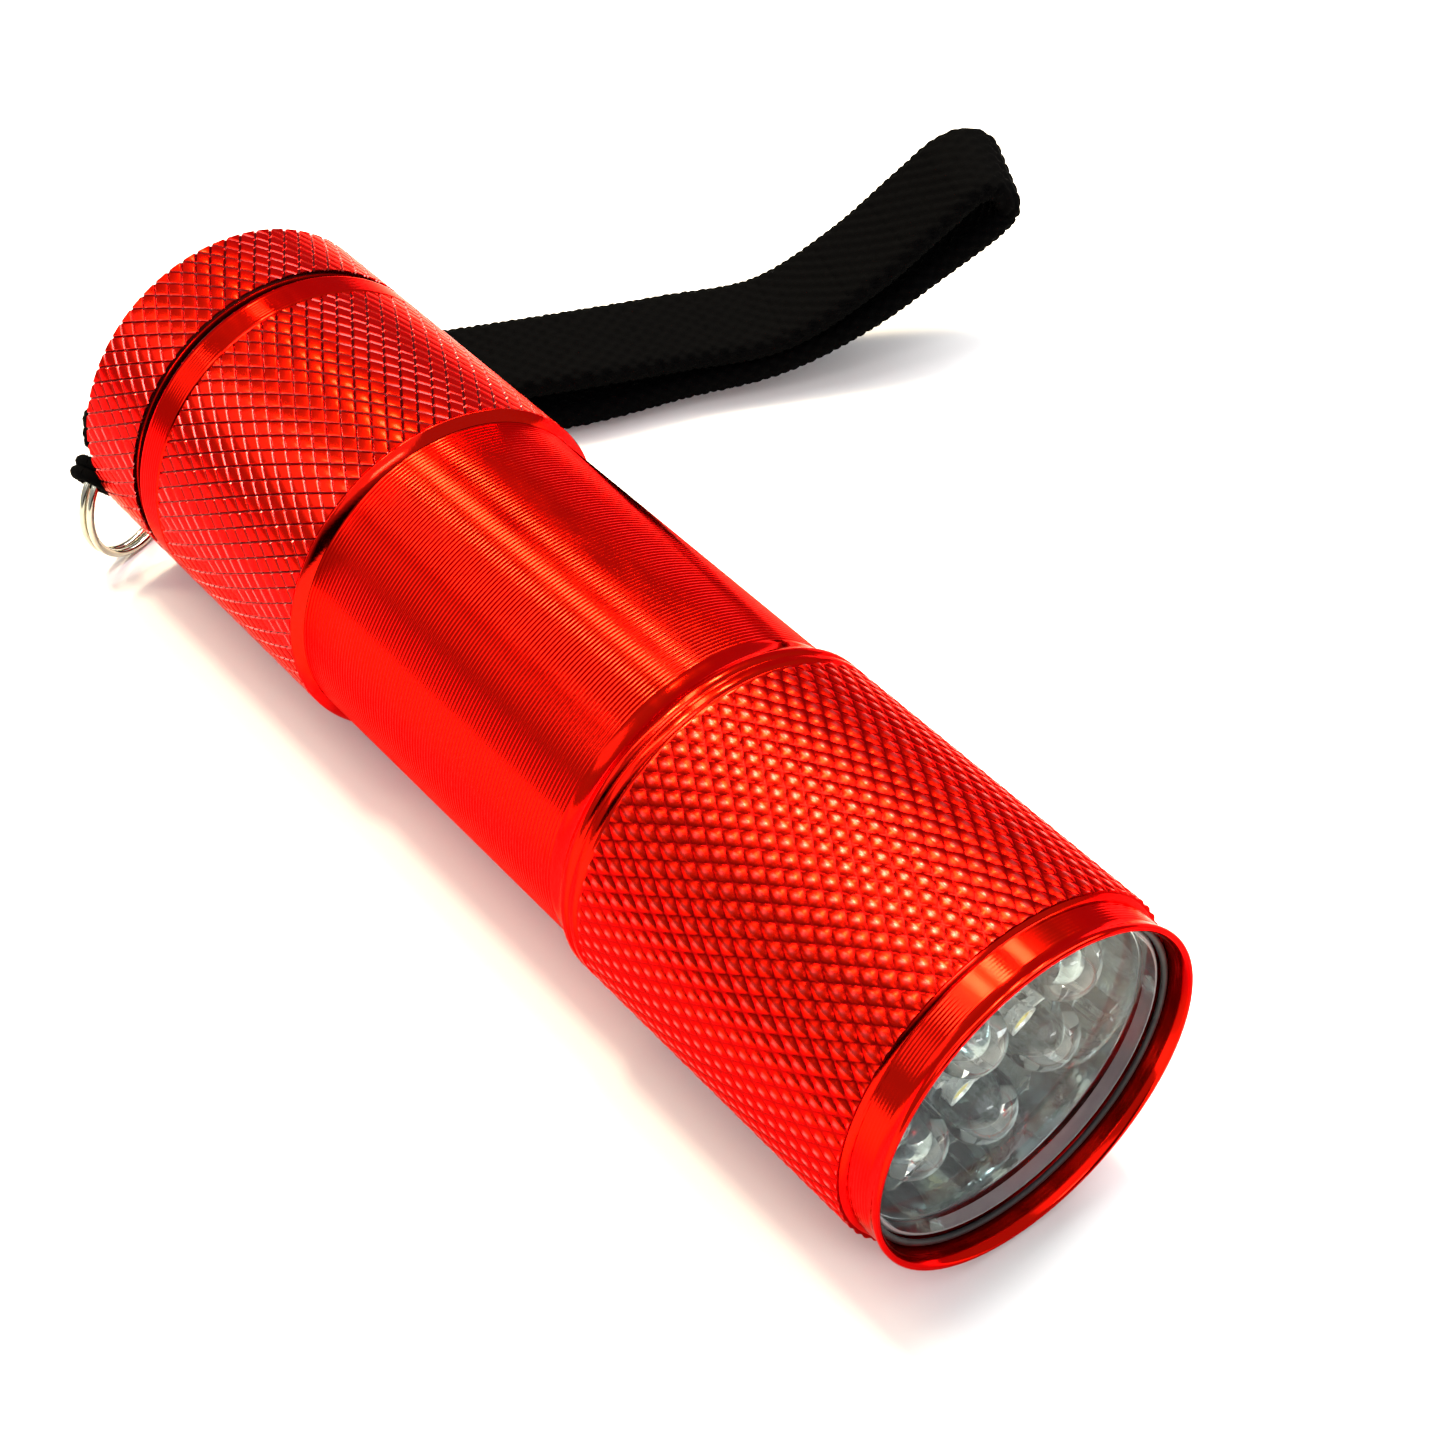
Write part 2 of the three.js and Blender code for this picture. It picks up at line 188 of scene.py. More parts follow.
def bump(made, source, depth):
    """Bump of that depth in millimetres."""
    tree = made.node_tree
    node = tree.nodes.new("ShaderNodeBump")
    node.inputs["Distance"].default_value = depth * MM
    node.inputs["Strength"].default_value = 1.0
    tree.links.new(source, node.inputs["Height"])
    tree.links.new(node.outputs["Normal"], tree.nodes["Principled BSDF"].inputs["Normal"])


def radius_ramp(tree, inner, outer, low=0.0, high=1.0):
    """low to high between two distances from the torch's axis, in mm."""
    place = tree.nodes.new("ShaderNodeTexCoord")
    across = tree.nodes.new("ShaderNodeVectorMath")
    across.operation = "MULTIPLY_ADD"
    across.inputs[1].default_value = (0, 1, 1)
    across.inputs[2].default_value = (0, 0, -AXIS_HEIGHT * MM)
    length = tree.nodes.new("ShaderNodeVectorMath")
    length.operation = "LENGTH"
    tree.links.new(place.outputs["Object"], across.inputs[0])
    tree.links.new(across.outputs["Vector"], length.inputs[0])
    return ramp(tree, length.outputs["Value"], low, high, inner * MM, outer * MM)


# ------------------------------------------------------------------ sky
SKY_COLOUR = (0.55, 0.56, 0.57)
SKY_DARK = 0.01      # strength of the dark patch


def studio_sky():
    """An even pale sky that is dark low down on the camera's side, except to the camera itself."""
    sky = bpy.data.worlds.new("studio")
    sky.use_nodes = True
    tree = sky.node_tree
    place = tree.nodes.new("ShaderNodeTexCoord")
    split = tree.nodes.new("ShaderNodeSeparateXYZ")
    tree.links.new(place.outputs["Generated"], split.inputs["Vector"])
    above = ramp(tree, split.outputs["Z"], 0.0, 1.0, 0.25, 0.42)
    behind = ramp(tree, split.outputs["X"], 1.0, 0.0, 0.5, 0.7)
    beside = ramp(tree, split.outputs["Y"], 0.0, 1.0, 0.0, 0.15)
    outside = larger(tree, larger(tree, above, behind), beside)
    path = tree.nodes.new("ShaderNodeLightPath")
    light = larger(tree, outside, path.outputs["Is Camera Ray"])
    background = tree.nodes["Background"]
    tree.links.new(ramp(tree, light, SKY_DARK, 1.0, 0.0, 1.0), background.inputs["Strength"])
    background.inputs["Color"].default_value = (*SKY_COLOUR, 1)
    return sky


scene.world = studio_sky()


# ------------------------------------------------------------------ materials
def principled(name, **inputs):
    made = bpy.data.materials.new(name)
    made.use_nodes = True
    shader = made.node_tree.nodes["Principled BSDF"]
    for key, value in inputs.items():
        socket = shader.inputs[key.replace("_", " ").title().replace("Ior", "IOR")]
        socket.default_value = (*value, 1) if isinstance(value, tuple) else value
    return made


def varied(name, first, second, rough, scale, depth=0.0, bump_scale=4000, **inputs):
    """A material whose colour and roughness drift between two values, with a fine bump."""
    made = principled(name, **inputs)
    tree = made.node_tree
    source = noise(tree, scale)
    vary_colour(made, source, first, second)
    vary_roughness(made, source, *rough)
    if depth:
        bump(made, noise(tree, bump_scale, 4), depth)
    return made


def clear(name, colour, ior):
    """Clear plastic that lets lamps through to what is behind it."""
    made = principled(name, base_color=colour, roughness=0.0, ior=ior, transmission_weight=1.0)
    tree = made.node_tree
    path = tree.nodes.new("ShaderNodeLightPath")
    through = tree.nodes.new("ShaderNodeBsdfTransparent")
    through.inputs["Color"].default_value = (*colour, 1)
    mix = tree.nodes.new("ShaderNodeMixShader")
    tree.links.new(path.outputs["Is Shadow Ray"], mix.inputs["Fac"])
    tree.links.new(tree.nodes["Principled BSDF"].outputs["BSDF"], mix.inputs[1])
    tree.links.new(through.outputs["BSDF"], mix.inputs[2])
    tree.links.new(mix.outputs["Shader"], tree.nodes["Material Output"].inputs["Surface"])
    return made


DYE = (0.68, 0.0060, 0.0013)
ORANGE_DYE = (0.70, 0.0080, 0.0009)
EDGE_TINT = (1.0, 0.25, 0.18)    # of what it reflects at a glancing angle
FADED = 0.92                     # share of the dye's colour where it varies most
ROUGHNESS_DRIFT = 0.035


def anodised(name, dye_and_groove_shade, roughness, coat=0.04, coat_roughness=0.1):
    """Bright red anodising under a thin clear seal."""
    made = principled(
        name, metallic=1.0, specular_tint=EDGE_TINT, coat_weight=coat, coat_roughness=coat_roughness)
    tree = made.node_tree
    vary_colour(made, noise(tree, 220, 2), dye_and_groove_shade, [FADED * channel for channel in dye_and_groove_shade])
    brushing = noise(tree, 900, 4, (0.3, 1, 1))
    vary_roughness(made, brushing, roughness - ROUGHNESS_DRIFT, roughness + ROUGHNESS_DRIFT)
    bump(made, noise(tree, 5200, 3), 0.004)
    return made


def paint_groove_shade(made, groove_floor, crest, dye_and_groove_shade):
    """Painted shade: the base colour darkens towards the groove floors, standing in for the shade that falls
    in the grooves.
    """
    tree = made.node_tree
    crest_colour = tree.nodes["Principled BSDF"].inputs["Base Color"].links[0].from_socket
    tree.links.new(crest_colour, colour_mix(made, radius_ramp(tree, groove_floor, crest), dye_and_groove_shade))


def seal_by_radius(made, inner, outer, inner_coat, outer_coat):
    """The clear seal is thicker at one radius than at the other."""
    tree = made.node_tree
    coat = tree.nodes["Principled BSDF"].inputs["Coat Weight"]
    tree.links.new(radius_ramp(tree, inner, outer, inner_coat, outer_coat), coat)


RED = anodised("anodised_red", DYE, 0.135, 0.03, 0.08)
RED_POLISHED = anodised("anodised_red_polished", DYE, 0.09, 0.05, 0.05)
RED_FINE_KNURL = anodised("anodised_red_fine_knurl", ORANGE_DYE, 0.2)
# painted shade: darker red towards the fine knurl's groove floors
paint_groove_shade(RED_FINE_KNURL, 12.86, 12.97, (0.16, 0.0006, 0.0003))
seal_by_radius(RED_FINE_KNURL, 12.92, 12.98, 0.7, 0.05)
RED_DOTTED_KNURL = anodised("anodised_red_dotted_knurl", ORANGE_DYE, 0.24, 0.04, 0.26)
# painted shade: darker red towards the dotted knurl's groove floors
paint_groove_shade(RED_DOTTED_KNURL, 12.87, 12.96, (0.26, 0.0010, 0.0005))
seal_by_radius(RED_DOTTED_KNURL, 12.955, 13.0, 0.02, 0.75)

RUBBER = varied(
    "black_rubber", (0.005, 0.005, 0.006), (0.010, 0.010, 0.011), (0.5, 0.65), 900, 0.01)
CHROME = varied(
    "reflector_chrome", (0.44, 0.49, 0.49), (0.34, 0.39, 0.39), (0.05, 0.1), 700, 0.03, 700, metallic=1.0)
NICKEL = varied(
    "nickel_plate", (0.56, 0.54, 0.45), (0.44, 0.42, 0.33), (0.08, 0.18), 1500, 0.004, metallic=1.0)
SPRING = varied(
    "spring_wire", (0.66, 0.64, 0.60), (0.55, 0.53, 0.50), (0.2, 0.32), 1200, 0.003, metallic=1.0)
BRASS = varied(
    "contact_brass", (0.78, 0.58, 0.24), (0.66, 0.46, 0.18), (0.22, 0.4), 900, 0.004, metallic=1.0)
BRAID = varied(
    "braided_cord", (0.0005, 0.0005, 0.0006), (0.0013, 0.0013, 0.0014), (0.75, 0.95), 1500, 0.02, 6000,
    specular_ior_level=0.015)
PLASTIC = varied(
    "black_plastic", (0.018, 0.018, 0.02), (0.03, 0.03, 0.032), (0.38, 0.52), 700, 0.012)
BOARD = varied(
    "white_board", (0.82, 0.82, 0.78), (0.74, 0.75, 0.70), (0.35, 0.5), 600, 0.006)
WHITE_PLASTIC = varied(
    "white_plastic", (0.78, 0.77, 0.73), (0.72, 0.71, 0.66), (0.35, 0.5), 700, 0.008)
LEAD = varied(
    "lead_frame", (0.92, 0.91, 0.86), (0.84, 0.83, 0.78), (0.2, 0.35), 2500, 0.004, metallic=0.35)
PHOSPHOR = varied(
    "led_phosphor", (0.86, 0.72, 0.22), (0.78, 0.62, 0.16), (0.4, 0.6), 4000, 0.01)
FROSTED = varied(
    "ground_lens_edge", (0.40, 0.34, 0.34), (0.30, 0.25, 0.26), (0.45, 0.6), 900, 0.006,
    transmission_weight=0.25)
JACKET = varied(
    "cell_jacket", (0.05, 0.22, 0.08), (0.04, 0.17, 0.06), (0.25, 0.4), 500, 0.006, metallic=0.4)
CAN = varied(
    "cell_can", (0.70, 0.69, 0.66), (0.60, 0.59, 0.57), (0.18, 0.3), 900, 0.004, metallic=1.0)
FLOOR = varied("pale_floor", (0.79, 0.79, 0.785), (0.77, 0.77, 0.765), (0.5, 0.6), 20)
RESIN = clear("led_resin", (0.93, 0.98, 0.97), 1.5)
LENS = clear("clear_lens", (0.96, 0.98, 0.98), 1.13)


# ------------------------------------------------------------------ mesh tools
def piece(name, verts, faces, made, body, slot=None, replaces=(), sharp=30):
    """A closed mesh from points in torch millimetres, riding on a CAD body."""
    mesh = bpy.data.meshes.new(name)
    mesh.from_pydata([tuple(v) for v in world(verts)], [], faces)
    mesh.validate()
    obj = bpy.data.objects.new(name, mesh)
    scene.collection.objects.link(obj)
    clean(mesh, join=1e-7, smallest=1e-8)
    mesh.shade_smooth()
    mesh.set_sharp_from_angle(angle=math.radians(sharp))
    mesh.materials.append(made)
    if body:
        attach(obj, body)
    if replaces:
        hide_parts(*replaces)
    return obj


def clean(mesh, join, smallest):
    """Points closer than join become one, edges under smallest go, and the faces turn outwards."""
    bm = bmesh.new()
    bm.from_mesh(mesh)
    bmesh.ops.remove_doubles(bm, verts=bm.verts, dist=join)
    bmesh.ops.dissolve_degenerate(bm, edges=bm.edges, dist=smallest)
    bmesh.ops.recalc_face_normals(bm, faces=bm.faces)
    bm.to_mesh(mesh)
    bm.free()


def merged(parts):
    """Several (verts, faces) as one."""
    verts, faces, start = [], [], 0
    for part_verts, part_faces in parts:
        part_verts = np.asarray(part_verts, float)
        verts.append(part_verts)
        faces += [tuple(i + start for i in face) for face in part_faces]
        start += len(part_verts)
    return np.vstack(verts), faces


def tube_faces(rings, sides, wrap=False):
    """Faces between neighbouring rings of points, and from the last to the first with wrap."""
    faces = []
    for i in range(rings if wrap else rings - 1):
        a, b = i * sides, (i + 1) % rings * sides
        for j in range(sides):
            k = (j + 1) % sides
            faces.append((a + j, a + k, b + k, b + j))
    return faces


def capped_tube_faces(rings, sides):
    """The faces of a tube and of the fans that close it, whose centres are the last two points."""
    faces = tube_faces(rings, sides)
    last, first_cap, last_cap = (rings - 1) * sides, rings * sides, rings * sides + 1
    for j in range(sides):
        k = (j + 1) % sides
        faces += [(k, j, first_cap), (last + j, last + k, last_cap)]
    return faces


def lathe(profile, segments=128, centre=(0, 0)):
    """A solid of revolution about the torch's axis, or about a line beside it, from [x, radius] points."""
    p = np.asarray(profile, float)
    on_axis = p[0, 1] == 0 and p[-1, 1] == 0
    angle = round_steps(segments)
    verts = np.stack([
        np.repeat(p[:, 0], segments),
        np.outer(p[:, 1], np.cos(angle)).ravel() + centre[0],
        np.outer(p[:, 1], np.sin(angle)).ravel() + centre[1],
    ], axis=1)
    return verts, tube_faces(len(p), segments, wrap=not on_axis)


def arc(x, radius, r, start, end, steps=4):
    """Points on a fillet of radius r centred at (x, radius), angles in degrees from +x."""
    angles = np.radians(np.linspace(start, end, steps))
    return [[x + r * math.cos(a), radius + r * math.sin(a)] for a in angles]


def rounded(profile, r, steps=3, reach=0.4):
    """The closed profile with fillets of size r, each up to reach of a side, at its corners off the axis."""
    p = [np.array(q, float) for q in profile]
    out = []
    for i, here in enumerate(p):
        before, after = p[i - 1] - here, p[(i + 1) % len(p)] - here
        before_length, after_length = np.linalg.norm(before), np.linalg.norm(after)
        if here[1] == 0:
            out.append(here)
            continue
        cut = min(r, before_length * reach, after_length * reach)
        start, end = here + before / before_length * cut, here + after / after_length * cut
        for t in np.linspace(0, 1, steps):
            out.append((1 - t) ** 2 * start + 2 * t * (1 - t) * here + t ** 2 * end)
    return out


def temporary_object(verts, faces):
    mesh = bpy.data.meshes.new("cut")
    mesh.from_pydata([tuple(p) for p in verts], [], faces)
    clean(mesh, join=1e-5, smallest=1e-6)
    obj = bpy.data.objects.new("cut", mesh)
    scene.collection.objects.link(obj)
    return obj


def cut_holes(verts, faces, places, x0, x1, radius, segments=48):
    """The solid with round holes through it along the torch's axis."""
    pins = [lathe([[x0, 0], [x0, radius], [x1, radius], [x1, 0]], segments, centre=c) for c in places]
    target = temporary_object(verts, faces)
    tools = temporary_object(*merged(pins))
    modifier = target.modifiers.new("cut", "BOOLEAN")
    modifier.operation = "DIFFERENCE"
    modifier.solver = "EXACT"
    modifier.object = tools
    made = target.evaluated_get(bpy.context.evaluated_depsgraph_get()).to_mesh()
    out = np.array([v.co for v in made.vertices]), [tuple(p.vertices) for p in made.polygons]
    for obj in (target, tools):
        bpy.data.objects.remove(obj)
    return out


def turned_lines(x0, x1, r0, r1=None, depth=0.012, pitch=0.27, points=4):
    """Profile points along a turned surface, scalloped by the tool's feed of pitch mm a turn."""
    r1 = r0 if r1 is None else r1
    count = max(1, round((x1 - x0) / pitch))
    out = []
    for i in range(count * points + 1):
        t = i / (count * points)
        across = 2 * (i % points) / points - 1
        out.append([x0 + (x1 - x0) * t, r0 + (r1 - r0) * t - depth * (1 - across ** 2)])
    return out


def bead(x, radius, half_width, half_height):
    """The oval profile of a moulded ring."""
    return [[x + half_width * math.cos(a), radius + half_height * math.sin(a)] for a in round_steps(16)]


# ------------------------------------------------------------------ knurling
STARTS = 64              # grooves each way
DIAMOND = 2.0            # length of a diamond along the axis, mm
SAME_POINT = 1e-3        # points closer than this are one, mm
FLAT_DEPTH, DOMED_DEPTH = 0.16, 0.14    # of the grooves, mm
GROOVE_EDGE = 0.115      # half a groove's width, as a share of a diamond
CROWN = 0.03             # how far a flat diamond falls at its rim, as a share of the depth
FLAT_CUTS = (0.0, 0.105, 0.16, 0.84, 0.895)
DOMED_CUTS = (0.0, 0.08, 0.25, 0.5, 0.75, 0.92)


def flat_topped(u, v):
    """Share of the groove's depth at (u, v) in a flat-topped diamond between thin V grooves."""
    to_groove = min(u, 1 - u, v, 1 - v)
    groove = max(0.0, (GROOVE_EDGE - to_groove) / GROOVE_EDGE)
    return max(groove, CROWN * 4 * max(abs(u - 0.5), abs(v - 0.5)) ** 2)


def domed(u, v):
    """Share of the groove's depth at (u, v) in a pillow-shaped diamond."""
    return 1 - (1 - (2 * u - 1) ** 2) * (1 - (2 * v - 1) ** 2)


def diamond_grid(bm, x0, x1, cuts, shape):
    """Diamonds from before x0 to past x1, at (starts round, x / DIAMOND, share of depth)."""
    cuts = (*cuts, 1.0)
    made = {}

    def vertex(i, j, a, b):
        u, v = i + cuts[a], j + cuts[b]
        key = (round(u * 1000), round(v * 1000))
        if key not in made:
            made[key] = bm.verts.new(((u + v) / 2, (u - v) / 2, shape(cuts[a], cuts[b])))
        return made[key]

    steps = range(len(cuts) - 1)
    for gap in range(math.floor(2 * x0 / DIAMOND) - 2, math.ceil(2 * x1 / DIAMOND) + 2):
        for j in range(STARTS):
            for a in steps:
                for b in steps:
                    corners = ((a, b), (a + 1, b), (a + 1, b + 1), (a, b + 1))
                    bm.faces.new([vertex(j + gap, j, *corner) for corner in corners])


def knurled_sleeve(x0, x1, cuts, depth, shape, inner, phase=0.0):
    """A knurled ring from x0 to x1, turned by phase starts. cuts are the grid lines across a diamond."""
    bm = bmesh.new()
    diamond_grid(bm, x0, x1, cuts, shape)
    for x, side in ((x0, -1), (x1, 1)):
        bmesh.ops.bisect_plane(
            bm, geom=bm.verts[:] + bm.edges[:] + bm.faces[:], dist=1e-6,
            plane_co=(0, x / DIAMOND, 0), plane_no=(0, side, 0), clear_outer=True)
    for v in bm.verts:
        turn = 2 * math.pi * (v.co.x + phase) / STARTS
        r = BODY_RADIUS - depth * v.co.z
        v.co = (v.co.y * DIAMOND, r * math.cos(turn), r * math.sin(turn))
    bmesh.ops.remove_doubles(bm, verts=bm.verts, dist=SAME_POINT)
    for x in (x0, x1):
        rim = [e for e in bm.edges if e.is_boundary and all(abs(v.co.x - x) < SAME_POINT for v in e.verts)]
        ring = bmesh.ops.extrude_edge_only(bm, edges=rim)["geom"]
        for v in (g for g in ring if isinstance(g, bmesh.types.BMVert)):
            r = math.hypot(v.co.y, v.co.z)
            v.co.y, v.co.z = v.co.y * inner / r, v.co.z * inner / r
    bmesh.ops.bridge_loops(bm, edges=[e for e in bm.edges if e.is_boundary])
    bm.verts.index_update()
    verts = np.array([v.co for v in bm.verts])
    faces = [tuple(v.index for v in f.verts) for f in bm.faces]
    bm.free()
    return verts, faces


# ------------------------------------------------------------------ cord tools
BLENDS = (((0, 1), (1, 2), (2, 3)), ((0, 2), (1, 3)), ((1, 2),))    # the knots each blend lies between


def respaced(points, count, endpoint=True):
    """A line of points as count evenly spaced ones, and its length."""
    run = np.concatenate([[0], np.cumsum(np.linalg.norm(np.diff(points, axis=0), axis=1))])
    even = np.linspace(0, run[-1], count, endpoint=endpoint)
    return np.stack([np.interp(even, run, column) for column in points.T], axis=1), run[-1]


def catmull_rom(corners, knots, s):
    """The curve's point at s, between the middle two of four corners."""
    values = corners
    for spans in BLENDS:
        values = [
            values[k] + (values[k + 1] - values[k]) * (s - knots[a]) / (knots[b] - knots[a])
            for k, (a, b) in enumerate(spans)
        ]
    return values[0]


def curve_points(points, count):
    """Evenly spaced points on a centripetal Catmull-Rom curve through points, and its length."""
    p = np.asarray(points, float)
    p = np.vstack([2 * p[0] - p[1], p, 2 * p[-1] - p[-2]])
    dense = []
    for i in range(1, len(p) - 2):
        corners = p[i - 1:i + 3]
        knots = np.cumsum([0, *np.linalg.norm(np.diff(corners, axis=0), axis=1) ** 0.5])
        for s in np.linspace(knots[1], knots[2], 60, endpoint=i == len(p) - 3):
            dense.append(catmull_rom(corners, knots, s))
    return respaced(np.array(dense), count)


def side_vectors(path, first):
    """A pair of normals at each point, carried along the path without twist."""
    tangent = np.gradient(path, axis=0)
    tangent /= np.linalg.norm(tangent, axis=1)[:, None]
    normal = np.asarray(first, float)
    normals = []
    for t in tangent:
        normal = normal - (normal @ t) * t
        normal /= np.linalg.norm(normal)
        normals.append(normal)
    return np.array(normals), np.cross(tangent, normals)


def round_section(across, flat, n):
    """An oval loop of (normal, binormal) points."""
    angle = round_steps(n)
    return np.stack([across * np.cos(angle), flat * np.sin(angle)], 1)


def flat_section(width, thickness, n):
    """A flat loop with round edges and points spaced evenly round it."""
    half, r = (width - thickness) / 2, thickness / 2
    dense = []
    for side, first in ((1, -90), (-1, 90)):
        for a in np.radians(np.linspace(first, first + 180, 40)):
            dense.append((side * half + r * math.cos(a), r * math.sin(a)))
    dense.append(dense[0])
    return respaced(np.array(dense), n, endpoint=False)[0]


def swept_round(path, radius, sides, first):
    """A round wire along path. radius is one number or one for each point."""
    normal, binormal = side_vectors(path, first)
    circle = round_section(1, 1, sides)
    rings = [
        centre + r * (circle[:, :1] * n + circle[:, 1:] * b)
        for centre, n, b, r in zip(path, normal, binormal, np.broadcast_to(radius, len(path)))
    ]
    return np.vstack([*rings, path[:1], path[-1:]]), capped_tube_faces(len(path), sides)


def braid_height(around, along):
    """Height from 0 to 1 of a plain braid, in cells round it and along it."""
    p, q = around + along, around - along
    over = (np.floor(p) + np.floor(q)) % 2 == 0
    p_arch, q_arch = np.cos((p % 1 - 0.5) * np.pi), np.cos((q % 1 - 0.5) * np.pi)
    across_strand = np.where(over, p_arch, q_arch)
    along_strand = np.where(over, q_arch, p_arch)
    return across_strand ** 0.7 * (0.45 + 0.55 * along_strand)


def braided(path, section, first, step, cell=0.45, strands=8, relief=0.1, taper=None):
    """A braided cord along path, with its section scaled by taper and stitches of length cell."""
    taper = np.ones(len(path)) if taper is None else taper
    normal, binormal = side_vectors(path, first)
    sides = len(section)
    around = np.arange(sides) / sides * strands
    outward = np.roll(section, -1, 0) - np.roll(section, 1, 0)
    outward = np.stack([outward[:, 1], -outward[:, 0]], 1)
    outward /= np.linalg.norm(outward, axis=1)[:, None]
    verts = []
    for i, centre in enumerate(path):
        height = relief * (braid_height(around, np.full(sides, i * step / cell)) - 1)
        ring = (section + outward * height[:, None]) * taper[i]
        verts.append(centre + ring[:, :1] * normal[i] + ring[:, 1:] * binormal[i])
    return np.vstack([*verts, path[:1], path[-1:]]), capped_tube_faces(len(path), sides)


def cord_piece(name, mesh, replaces, body="tail_cap"):
    return piece(name, *mesh, BRAID, body, "braided_cord", [replaces], sharp=60)


# ------------------------------------------------------------------ wrist strap
STRAP_WIDTH, STRAP_THICKNESS = 8.4, 2.2
STRAP_STEP = 0.24    # distance between rings of points, mm
STRAP_LIFT = 0.15    # keeps the strands clear of the floor, mm
STRAP_ROUTE = np.array([   # x, y, z halfway between the legs, and the height between them
    [-8.7, -1.6, -8.75, 3.0], [-8.4, 2.4, -10.05, 2.8], [-6.96, 6.6, -10.5, 2.68],
    [-4.83, 11.98, -10.26, 3.19], [-1.79, 16.8, -9.99, 3.74], [1.21, 21.72, -9.73, 4.25],
    [4.17, 28.22, -9.69, 4.33], [6.78, 36.47, -9.8, 3.47], [10.1, 44.25, -9.18, 2.96],
    [12.43, 51.26, -6.25, 4.03], [13.94, 57.36, -2.63, 5.2],
])
STRAP_FOLD = [
    [15.34, 62.79, -2.13], [15.8, 63.9, -0.65], [15.95, 63.6, 1.2], [15.35, 62.2, 2.3], [14.72, 60.41, 2.03],
]

legs, half_gap = STRAP_ROUTE[:, :3], np.outer(STRAP_ROUTE[:, 3] / 2, [0, 0, 1])
strap_route = [*(legs - half_gap), *STRAP_FOLD, *(legs + half_gap)[::-1]]
_, strap_length = curve_points(strap_route, 2)
strap_path, _ = curve_points(strap_route, round(strap_length / STRAP_STEP))
strap_path[:, 2] += STRAP_LIFT
strap_section = flat_section(STRAP_WIDTH, STRAP_THICKNESS, 80)
strap = cord_piece("wrist_strap_braid", braided(
    strap_path, strap_section, (1, 0, 0), STRAP_STEP, cell=1.5, strands=16, relief=0.34), "wrist_strap")

# ------------------------------------------------------------------ the strap's neck, loop and knot
NECK_ROUTE = [
    [-3.4, -10.9, -1.3], [-5.0, -9.8, -1.9], [-6.6, -7.4, -4.4],
    [-7.9, -4.9, -6.7], [-8.6, -2.6, -8.2], [-8.75, -1.0, -8.8],
]
NECK_POINTS = 60
NECK_TIP, NECK_GROWTH = 0.4, 0.26    # share of its full width at the knot, and what each mm adds

neck_path, neck_length = curve_points(NECK_ROUTE, NECK_POINTS)
neck_growth = np.linspace(NECK_TIP, NECK_TIP + NECK_GROWTH * neck_length, NECK_POINTS)
neck = cord_piece("strap_neck_braid", braided(
    neck_path, round_section(1.25, 1.4, 32), (0, 1, 0), neck_length / (NECK_POINTS - 1),
    cell=0.9, relief=0.22, taper=np.clip(neck_growth, NECK_TIP, 1.0)), "strap_neck")

CORD_HOLES = [polar(10.4, 165), polar(10.4, 183)]    # through the tail cap's rear plate
LOOP_ROUTE = [
    [-2.05, -11.1, -0.7], [-2.05, -10.95, 0.5], [-1.4, -10.5, 2.0],
    [0.2, *CORD_HOLES[0]], [2.0, *CORD_HOLES[0]], [3.4, -10.3, 1.1],
    [2.0, *CORD_HOLES[1]], [0.3, *CORD_HOLES[1]], [-0.45, -10.5, -0.75], [-1.5, -11.0, -1.0],
]
LOOP_POINTS = 90

loop_path, loop_length = curve_points(LOOP_ROUTE, LOOP_POINTS)
loop = cord_piece("lanyard_loop_cord", braided(
    loop_path, round_section(0.6, 0.6, 24), (0, 1, 0), loop_length / (LOOP_POINTS - 1)), "lanyard_loop")

KNOT_CENTRE, KNOT_SIZE = (-2.05, -11.2, -1.0), (0.9, 0.62, 0.6)
KNOT_CORD, KNOT_OPENING, KNOT_POINTS, KNOT_STEP = 0.54, 0.16, 120, 0.1


def knot_path():
    """An overhand knot pulled tight into a small lump."""
    t = np.linspace(KNOT_OPENING, 2 * math.pi - KNOT_OPENING, KNOT_POINTS)
    across = np.sin(t) + 2 * np.sin(2 * t)
    up = np.cos(t) - 2 * np.cos(2 * t)
    through = -np.sin(3 * t)
    return np.stack([across / 3, through * 0.8, up / 3], 1) * KNOT_SIZE + KNOT_CENTRE


knot = cord_piece("strap_knot_cord", braided(
    knot_path(), round_section(KNOT_CORD, KNOT_CORD, 20), (0, 1, 0), KNOT_STEP), "strap_knot")

# ------------------------------------------------------------------ split ring and its tie
RING_CENTRE = np.array([-2.9, -9.4, -8.0])
RING_YAW = math.radians(20)
RING_RADIUS, RING_WIRE, RING_PITCH, RING_TURNS = 4.6, 0.31, 0.75, 2
RING_FRAME = np.array([   # the ring's axis, then the two directions of its plane
    [math.cos(RING_YAW), math.sin(RING_YAW), 0],
    [-math.sin(RING_YAW), math.cos(RING_YAW), 0],
    [0, 0, 1],
])
RING_POINTS = 420
RING_TIP = 5          # points that each tapered end takes


def split_ring():
    """Two close turns of wire with tapered ends."""
    t = np.linspace(0, 1, RING_POINTS)
    angle = 2 * math.pi * RING_TURNS * t
    shift = (t - 0.5) * RING_PITCH * RING_TURNS
    coil = np.stack([shift, RING_RADIUS * np.cos(angle), RING_RADIUS * np.sin(angle)], 1)
    from_start = np.arange(RING_POINTS)
    to_end = np.minimum(from_start, from_start[::-1]) / RING_TIP
    radius = RING_WIRE * np.sqrt(np.clip(to_end + 0.2, 0, 1))
    return swept_round(coil @ RING_FRAME + RING_CENTRE, radius, 20, RING_FRAME[0])


piece("split_ring_wire", *split_ring(), NICKEL, "split_ring", "split_ring_steel", ["split_ring"], sharp=60)

TIE_ANGLE, TIE_RADIUS, TIE_CORD = math.radians(125), 1.45, 0.56
TIE_SPREAD = 0.44    # half the distance between the tie's two turns
TIE_POINTS = 60


